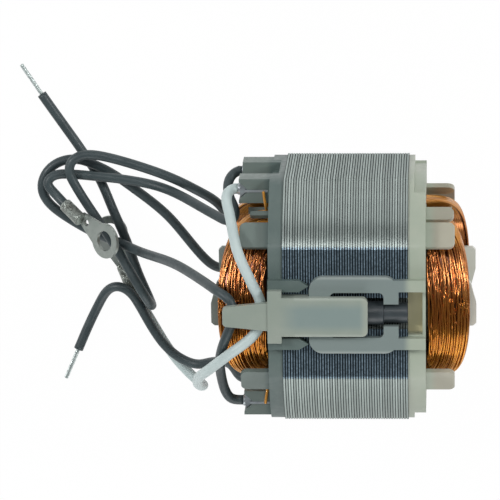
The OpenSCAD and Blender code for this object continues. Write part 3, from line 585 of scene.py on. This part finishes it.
class Finish:
    """A material under construction: its node tree, its Principled shader and a few shorthand makers."""

    def __init__(self, name):
        self.material = bpy.data.materials.new(name)
        self.material.use_nodes = True
        self.tree = self.material.node_tree
        self.shader = self.tree.nodes["Principled BSDF"]
        self.place = self.tree.nodes.new("ShaderNodeTexCoord")

    def node(self, kind, **settings):
        made = self.tree.nodes.new(kind)
        for key, value in settings.items():
            setattr(made, key, value)
        return made

    def link(self, source, target):
        self.tree.links.new(source, target)

    def feed(self, target, value):
        if isinstance(value, bpy.types.NodeSocket):
            self.link(value, target)
        else:
            target.default_value = value

    def math(self, operation, a, b=0.0):
        made = self.node("ShaderNodeMath", operation=operation)
        self.feed(made.inputs[0], a)
        self.feed(made.inputs[1], b)
        return made.outputs[0]

    def ramp(self, value, low, high, to_low=0.0, to_high=1.0):
        made = self.node("ShaderNodeMapRange", interpolation_type="SMOOTHSTEP")
        sockets = ("Value", "From Min", "From Max", "To Min", "To Max")
        for socket, number in zip(sockets, (value, low, high, to_low, to_high)):
            self.feed(made.inputs[socket], number)
        return made.outputs["Result"]

    def axes(self):
        """X, Y and Z of the piece's own coordinates."""
        parts = self.node("ShaderNodeSeparateXYZ")
        self.link(self.place.outputs["Object"], parts.inputs[0])
        return parts.outputs

    def along(self, axis, low, high, to_low=0.0, to_high=1.0):
        """Ramp between two places in millimetres."""
        return self.ramp(axis, low * MM, high * MM, to_low, to_high)

    def mottle(self, scale, low, high):
        made = self.node("ShaderNodeGroup", node_tree=MOTTLE)
        self.link(self.place.outputs["Object"], made.inputs["Vector"])
        for socket, number in (("Scale", scale), ("Low", low), ("High", high)):
            made.inputs[socket].default_value = number
        return made.outputs["Value"]

    def blend(self, factor, first, second):
        made = self.node("ShaderNodeMix", data_type="RGBA")
        self.feed(made.inputs["Factor"], factor)
        for socket, colour in ((made.inputs[6], first), (made.inputs[7], second)):
            self.feed(socket, colour if isinstance(colour, bpy.types.NodeSocket) else (*colour, 1.0))
        return made.outputs[2]

    def bump(self, height, strength, distance):
        made = self.node("ShaderNodeBump")
        made.inputs["Strength"].default_value = strength
        made.inputs["Distance"].default_value = distance * MM
        self.link(height, made.inputs["Height"])
        self.link(made.outputs["Normal"], self.shader.inputs["Normal"])

    def set(self, **values):
        for key, value in values.items():
            self.feed(self.shader.inputs[key.replace("_", " ").title()], value)


def wear(piece, finish):
    """Gives a piece one finish all over."""
    piece.data.materials.clear()
    piece.data.materials.append(finish.material)


# %% [markdown]
# ### Steel sheets
# The stack's edge shows one bright line for each sheet and a dark joint between two. The sheets differ a
# little in tone. The flats that face up and down are painted darker and bluer than the round corners: a
# painted reflection of the dim room that the flat facing the camera mirrors. The flats at the sides are
# matte. A drawn image would blur when seen close, so the lines are worked out from the place along the axis.

# %% Steel finish
SHEET_T, FLAT_R = 0.65, 31.0
LINE_HALF, FLAT_LINE_DROP, LINE_FADE = 0.27, 0.13, 0.14


def steel_finish():
    """Sheet number from X picks a tone; the distances from the flats pick the colour, dullness and metal."""
    f = Finish("electrical_sheet")
    x, y, z = f.axes()
    sheet = f.math("DIVIDE", f.math("ADD", x, HALF_L * MM), SHEET_T * MM)
    tone = f.node("ShaderNodeTexWhiteNoise", noise_dimensions="1D")
    f.link(f.math("FLOOR", sheet), tone.inputs["W"])
    in_sheet = f.math("ABSOLUTE", f.math("SUBTRACT", f.math("FRACT", sheet), 0.5))
    flat = f.along(f.math("ABSOLUTE", z), FLAT_R - 0.5, FLAT_R - 0.1)
    side = f.along(f.math("ABSOLUTE", y), FLAT_R - 0.5, FLAT_R - 0.1)
    line_w = f.math("SUBTRACT", LINE_HALF, f.math("MULTIPLY", flat, FLAT_LINE_DROP))
    joint = f.ramp(in_sheet, line_w, f.math("ADD", line_w, LINE_FADE))
    round_edge = f.blend(side, (0.42, 0.48, 0.455), (0.43, 0.49, 0.465))
    # Painted reflection: on the flats across Z the sheets are darker and bluer, as the dim room mirrored in
    # them.
    sheet_and_painted_reflection = f.blend(flat, round_edge, (0.235, 0.325, 0.385))
    dark = f.blend(flat, (0.022, 0.026, 0.026), (0.03, 0.04, 0.05))
    own_tone = f.math("ADD", f.math("MULTIPLY", tone.outputs["Value"], 0.35), 0.72)
    speckle = f.math("MULTIPLY", flat, f.mottle(1700, -0.35, 0.55))
    streak = f.math("MULTIPLY", own_tone, f.math("ADD", f.mottle(300, 0.92, 1.0), speckle))
    lit = f.node("ShaderNodeMix", data_type="RGBA", blend_type="MULTIPLY")
    lit.inputs["Factor"].default_value = 1.0
    f.link(sheet_and_painted_reflection, lit.inputs[6])
    grey = f.node("ShaderNodeCombineColor")
    for socket in grey.inputs:
        f.link(streak, socket)
    f.link(grey.outputs[0], lit.inputs[7])
    low_corner = f.along(y, -16.5, -15.5, 0.28, 0.0)
    dull = f.math("MAXIMUM", low_corner, f.math("MULTIPLY", side, 0.65))
    f.set(base_color=f.blend(joint, lit.outputs[2], dark),
          roughness=f.math("ADD", f.mottle(400, 0.22, 0.27), dull),
          metallic=f.math("SUBTRACT", 0.6, f.math("MULTIPLY", side, 0.6)))
    f.shader.inputs["Specular IOR Level"].default_value = 0.2
    f.bump(f.mottle(1200, 0, 1), 0.03, 0.03)
    return f


steel = steel_finish()
wear(nodes_by_name["lamination_stack"], steel)
print("finish:", steel.material.name)

# %% [markdown]
# ### Mouldings
# The end rings are glass-filled plastic with a faintly cloudy colour and a matte skin. The clip is unfilled,
# so it looks milkier and glossier. What lies behind a thin wall shows through it a little. Light could be
# traced through the walls, but that is slow and speckled, so a change of colour by place stands for it.

# %% Plastic finishes


def moulded_skin(f, first, second, rough, gloss, grain=1500, depth=0.12):
    """Sets a speckled roughness, a thin coat and the tiny bump of a moulded skin; returns two near colours
    mixed by a slow cloud."""
    f.set(roughness=f.mottle(700, rough - 0.07, rough + 0.07), coat_weight=gloss, coat_roughness=0.22)
    f.bump(f.mottle(grain, 0, 1), depth, 0.06)
    cloud = f.math("MULTIPLY", f.mottle(90, 0, 1), f.mottle(420, 0.6, 1))
    return f.blend(cloud, first, second)


def plain_finish(name, first, second, rough):
    """Moulded skin without a coat, the same all over."""
    f = Finish(name)
    f.set(base_color=moulded_skin(f, first, second, rough, 0.0, 1800, 0.1))
    return f


def pale_ring_finish():
    """Pale moulding: greyer bars over the steel with a painted highlight on their rims, paper showing through
    beside the sleeve, warmer horns over the copper and pale horns at the far end."""
    f = Finish("pale_glass_filled")
    x, y, z = f.axes()
    off_middle = f.math("ABSOLUTE", y)
    colour = moulded_skin(f, (0.36, 0.41, 0.325), (0.42, 0.45, 0.365), 0.46, 0.12)
    # Painted highlight: the bars turn lighter towards their outer rims, where the rounded edge catches light.
    bar_with_painted_rim = f.blend(f.along(off_middle, 8.8, 9.6, 0.0, 0.7), (0.2, 0.245, 0.234), (0.36, 0.4, 0.38))
    colour = f.blend(f.along(x, 14.2, 16.5, 1.0, 0.0), colour, bar_with_painted_rim)
    below = f.math("MULTIPLY", f.along(off_middle, 5.2, 5.8, 1.0, 0.0), f.along(z, 26.5, 29.5, 1.0, 0.0))
    colour = f.blend(f.math("MULTIPLY", below, f.along(z, 20, 25)), colour, (0.78, 0.7, 0.42))
    colour = f.blend(f.along(x, 20.6, 23.0), colour, (0.41, 0.39, 0.305))
    f.set(base_color=f.blend(f.along(x, 26.5, 28.5), colour, (0.62, 0.62, 0.54)))
    return f


def grey_ring_finish():
    """Grey moulding, lighter in two steps on the tabs and pockets that stand out from the stack's end."""
    f = Finish("grey_glass_filled")
    x = f.axes()[0]
    colour = moulded_skin(f, (0.088, 0.126, 0.118), (0.118, 0.155, 0.142), 0.5, 0.08)
    colour = f.blend(f.along(x, -21.0, -19.2, 1.0, 0.0), colour, (0.145, 0.183, 0.165))
    f.set(base_color=f.blend(f.along(x, -31.0, -28.5, 1.0, 0.0), colour, (0.2, 0.23, 0.205)))
    return f


def clip_finish():
    """Milky clip: sleeve and channel show as a cooler band along its middle; the rims carry a painted
    highlight and the end is lighter.
    """
    f = Finish("milky_clip")
    x, y, _ = f.axes()
    off_middle = f.math("ABSOLUTE", y)
    colour = moulded_skin(f, (0.27, 0.315, 0.268), (0.315, 0.35, 0.3), 0.38, 0.25)
    band = f.math("MULTIPLY", f.along(off_middle, 1.5, 4.4, 1.0, 0.0), f.along(x, -17, -11))
    colour = f.blend(f.math("MULTIPLY", band, 0.75), colour, (0.2, 0.268, 0.262))
    # Painted highlight: the side rims turn lighter, where the rounded edges catch light.
    painted_rim_highlight = f.math("MULTIPLY", f.along(off_middle, 4.0, 4.7, 0.0, 0.6), f.along(x, -13, -12))
    colour = f.blend(painted_rim_highlight, colour, (0.42, 0.465, 0.41))
    f.set(base_color=f.blend(f.along(x, 3.4, 5.4, 0.0, 0.6), colour, (0.4, 0.42, 0.345)))
    return f


plastics = {
    "lead_end_insulator": grey_ring_finish(),
    "plain_end_insulator": pale_ring_finish(),
    "lead_holder": clip_finish(),
    "black_sleeve": plain_finish("sleeve_black", (0.03, 0.04, 0.045), (0.05, 0.06, 0.066), 0.42),
}
for name, finish in plastics.items():
    wear(mouldings[name], finish)
print("plastics:", len(plastics))

# %% [markdown]
# ### Copper, leads and terminals
# Enamelled wire is copper under amber lacquer: metal, with a warm, clear coat. Each wire has a tone of its
# own, which its mesh carries. Lead sleeving is soft plastic with a matte skin. The terminals are dull, tinned
# sheet.

# %% Copper finish


def copper_finish():
    """Amber by each wire's tone. A band above the middle is painted pinker copper as a painted highlight, and
    just below it a band of painted shade darkens the wires; where the core shows between them it is near
    black, also painted shade. Towards both sides the wires are painted yellower and lighter, as painted
    light, and look less like metal."""
    f = Finish("enamelled_copper_wire")
    tone = f.node("ShaderNodeAttribute", attribute_name="tone").outputs["Fac"]
    y = f.axes()[1]
    # Painted highlight: above the middle the wires turn pinker copper, where the side lamps glint on them.
    painted_glint_band = f.math("MULTIPLY", f.along(y, 1, 7, 0.0, 0.85), f.along(y, 13, 18, 1.0, 0.0))
    # Painted shade: just below the middle the wires turn dark red-brown.
    painted_shade_band = f.math("MULTIPLY", f.along(y, -8, -3, 0.0, 0.6), f.along(y, 2, 7, 1.0, 0.0))
    # Painted light: towards both sides the wires turn yellower and lighter, and less metallic.
    painted_light_sides = f.math("MAXIMUM", f.along(y, 14, 19), f.along(y, -19, -12, 1.0, 0.0))
    amber = f.blend(tone, (0.42, 0.13, 0.012), (0.78, 0.34, 0.045))
    amber = f.blend(painted_shade_band, amber, (0.2, 0.05, 0.008))
    glint_copper = f.blend(tone, (0.34, 0.08, 0.015), (0.72, 0.32, 0.12))
    stain = f.math("MULTIPLY", f.mottle(500, 0, 1), 0.4)
    wire = f.blend(stain, f.blend(painted_glint_band, amber, glint_copper), (0.3, 0.065, 0.01))
    side_light_yellow = f.blend(tone, (0.4, 0.13, 0.015), (0.88, 0.42, 0.08))
    wire = f.blend(f.math("MULTIPLY", painted_light_sides, 0.7), wire, side_light_yellow)
    # Tone near naught, on the core's sides, gives near black: painted shade between the wires.
    f.set(base_color=f.blend(f.ramp(tone, 0.02, 0.18), (0.07, 0.016, 0.004), wire),
          metallic=f.math("SUBTRACT", 0.8, f.math("MULTIPLY", painted_light_sides, 0.55)),
          roughness=f.mottle(900, 0.1, 0.18), specular_tint=(1.0, 0.8, 0.6, 1.0),
          coat_weight=0.3, coat_roughness=0.05)
    return f


copper = copper_finish()
for piece in coils + wire_ends:
    wear(piece, copper)
print("finish:", copper.material.name)

# %% Lead and terminal finishes


def sleeving_finish(name, first, second, rough):
    """Matte plastic skin: a slow change of tone along the lead and a fine drawn grain."""
    f = Finish(name)
    f.set(base_color=f.blend(f.mottle(160, 0, 1), first, second),
          roughness=f.mottle(1100, rough - 0.08, rough + 0.08))
    f.bump(f.mottle(2200, 0, 1), 0.03, 0.03)
    return f


def tinned_finish(name, first, second, rough, grain):
    """Dull tin: grey with darker stains and a patchy roughness; grain is the strength of its bump."""
    f = Finish(name)
    stain = f.math("MULTIPLY", f.mottle(380, 0, 1), f.mottle(1500, 0.5, 1))
    f.set(base_color=f.blend(stain, first, second), metallic=0.7,
          roughness=f.mottle(800, rough - 0.1, rough + 0.1))
    f.bump(f.mottle(1500, 0, 1), grain, 0.08)
    return f


BARREL_MID, BARREL_REACH = 2.0, 4.4
EYES = {"white_lead_eye": (WHITE_EYE, WHITE_EYE_DIR), "dark_lead_eye": (DARK_EYE, DARK_EYE_DIR)}


def crimped_finish(name, barrel):
    """Tinned sheet: smooth on the eye; around the crimped barrel's middle it is crumpled and darker in the
    hollows of the crumple.
    """
    f = Finish(name)
    away = f.node("ShaderNodeVectorMath", operation="DISTANCE")
    f.link(f.place.outputs["Object"], away.inputs[0])
    away.inputs[1].default_value = barrel * MM
    crimp = f.along(away.outputs["Value"], BARREL_REACH - 1.2, BARREL_REACH, 1.0, 0.0)
    dent = f.mottle(520, 0, 1)
    stain = f.math("MULTIPLY", crimp, f.math("SUBTRACT", 1.0, dent))
    tin = f.blend(f.mottle(380, 0, 1), (0.36, 0.405, 0.37), (0.43, 0.465, 0.43))
    f.set(base_color=f.blend(f.math("MULTIPLY", stain, 0.85), tin, (0.1, 0.1, 0.085)), metallic=0.7,
          roughness=f.mottle(800, 0.28, 0.42))
    f.bump(f.math("ADD", f.math("MULTIPLY", dent, crimp), f.mottle(1500, 0, 0.06)), 0.9, 0.4)
    return f


white_sleeving = sleeving_finish("white_sleeving", (0.49, 0.58, 0.57), (0.56, 0.65, 0.635), 0.45)
dark_sleeving = sleeving_finish("dark_sleeving", (0.032, 0.047, 0.051), (0.052, 0.072, 0.076), 0.46)
for name, piece in lead_pieces.items():
    wear(piece, white_sleeving if name.startswith("white") else dark_sleeving)
for name, (end, along) in EYES.items():
    wear(mouldings[name], crimped_finish(name + "_tin", end + BARREL_MID * along))
strands = tinned_finish("tinned_strand", (0.62, 0.69, 0.67), (0.52, 0.58, 0.56), 0.34, 0.03)
for piece in tip_pieces.values():
    wear(piece, strands)
blade = tinned_finish("terminal_blade", (0.5, 0.54, 0.56), (0.38, 0.41, 0.43), 0.36, 0.25)
paper = plain_finish("slot_paper", (0.55, 0.47, 0.28), (0.62, 0.55, 0.36), 0.6)
for number in POCKETS:
    wear(nodes_by_name[f"terminal_{number}"], blade)
    wear(nodes_by_name[f"slot_liner_{number}"], paper)
print("lead and terminal finishes done")

# %% [markdown]
# ## Table and light
# The stator lies on a white table. Four soft boxes and a board stand around it and none hangs over it, so the
# steel flat that faces the camera mirrors a dim ceiling and stays dark, while the round corners and the wires
# catch the boxes. A plain white table would turn grey towards the edges of the picture, so it glows, but only
# for the camera and in mirrored views. The lamps' places and the table's size are in metres.

# %% Table
STAND_Z = -33.1
TABLE_HALF, TABLE_POINTS, TABLE_GLOW = 3.0, 13, 0.985


def table_surface(count):
    """Flat square grid at the standing height."""
    side = np.linspace(-TABLE_HALF, TABLE_HALF, count)
    x, y = np.meshgrid(side, side, indexing="ij")
    points = np.stack([x, y, np.full_like(x, STAND_Z * MM)], axis=-1).reshape(-1, 3)
    i, k = np.meshgrid(np.arange(count - 1), np.arange(count - 1), indexing="ij")
    near, far = i * count + k, (i + 1) * count + k
    return points, np.stack([near, far, far + 1, near + 1], axis=-1).reshape(-1, 4)


def table_finish():
    """White, and glowing for camera rays, mirrored rays and rays that pass through a piece."""
    f = Finish("white_table")
    f.set(base_color=(0.95, 0.95, 0.95, 1.0), roughness=0.7)
    rays = f.node("ShaderNodeLightPath").outputs
    bent = f.math("MAXIMUM", rays["Is Glossy Ray"], rays["Is Transmission Ray"])
    direct = f.math("MAXIMUM", rays["Is Camera Ray"], bent)
    glow = f.node("ShaderNodeEmission")
    f.link(direct, glow.inputs["Strength"])
    mixed = f.node("ShaderNodeMixShader")
    f.link(f.math("MULTIPLY", direct, TABLE_GLOW), mixed.inputs[0])
    f.link(f.shader.outputs[0], mixed.inputs[1])
    f.link(glow.outputs[0], mixed.inputs[2])
    f.link(mixed.outputs[0], f.tree.nodes["Material Output"].inputs["Surface"])
    return f


points, faces = table_surface(TABLE_POINTS)
table_mesh = bpy.data.meshes.new("table")
table_mesh.from_pydata(points.tolist(), [], faces.tolist())
table = bpy.data.objects.new("table", table_mesh)
scene.collection.objects.link(table)
wear(table, table_finish())
print("table at", STAND_Z, "mm")

# %% Lights
LAMPS = (
    ("box_left", (-0.85, 0.38, 0.75), 0.27, 5.4),
    ("box_right", (0.85, 0.38, 0.75), 0.27, 5.0),
    ("box_back", (0.0, 0.71, 0.95), 0.34, 2.2),
    ("board_back", (0.0, 1.2, 0.24), 0.6, 0.9),
    ("box_front", (0.0, -0.95, 0.52), 0.8, 5.2),
)


def soft_box(name, place, size, power):
    """Square area lamp aimed at the stator's middle."""
    data = bpy.data.lights.new(name, "AREA")
    data.shape = "SQUARE"
    data.size = size
    data.energy = power
    lamp = bpy.data.objects.new(name, data)
    scene.collection.objects.link(lamp)
    place = Vector(place)
    aim = (-place).to_track_quat("-Z", "Y").to_matrix().to_4x4()
    lamp.matrix_world = Matrix.Translation(place) @ aim


for lamp in LAMPS:
    soft_box(*lamp)
print("lamps:", [lamp[0] for lamp in LAMPS])

# %% [markdown]
# ## Room
# The room around the table is dim and faintly blue. Only the camera sees it light, so that a view from the
# side has no dark band where the table ends.

# %% Room
world = bpy.data.worlds.new("studio")
world.use_nodes = True
scene.world = world
links, tree_nodes = world.node_tree.links, world.node_tree.nodes
room = tree_nodes["Background"]
room.inputs["Color"].default_value = (0.9, 0.95, 1.0, 1.0)
room.inputs["Strength"].default_value = 0.22
backdrop = tree_nodes.new("ShaderNodeBackground")
backdrop.inputs["Strength"].default_value = 1.0
rays = tree_nodes.new("ShaderNodeLightPath")
pick = tree_nodes.new("ShaderNodeMixShader")
links.new(rays.outputs["Is Camera Ray"], pick.inputs[0])
links.new(room.outputs[0], pick.inputs[1])
links.new(backdrop.outputs[0], pick.inputs[2])
links.new(pick.outputs[0], tree_nodes["World Output"].inputs["Surface"])
print("room:", world.name)
